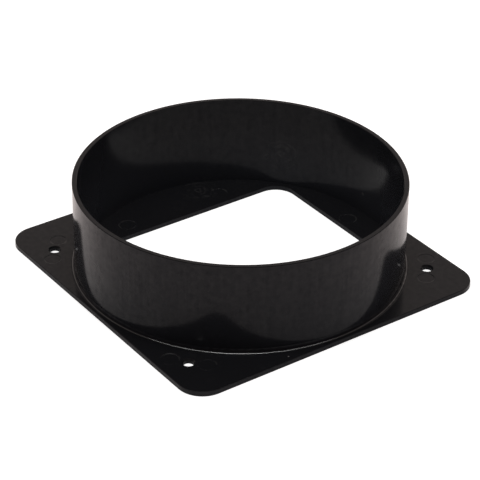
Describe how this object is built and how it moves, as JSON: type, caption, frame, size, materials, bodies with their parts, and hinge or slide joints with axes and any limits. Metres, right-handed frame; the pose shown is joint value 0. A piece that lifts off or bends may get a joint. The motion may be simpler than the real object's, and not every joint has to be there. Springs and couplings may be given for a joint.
{
  "type": "duct transition ring",
  "caption": "Moulded ring that joins a round flexible duct to a rectangular opening through a square screw-on plate.",
  "frame": {"origin": "centre of the plate's flat underside", "axes": "+Z along the spigot, from the plate to the rim; X and Y along the plate's sides, with Y along the opening's longer side"},
  "size_m": [0.1554, 0.1554, 0.0452],
  "materials": {
    "moulding": "as-moulded semi-gloss black"
  },
  "bodies": {
    "root": {"transition_ring": "moulding"}
  },
  "joints": []
}
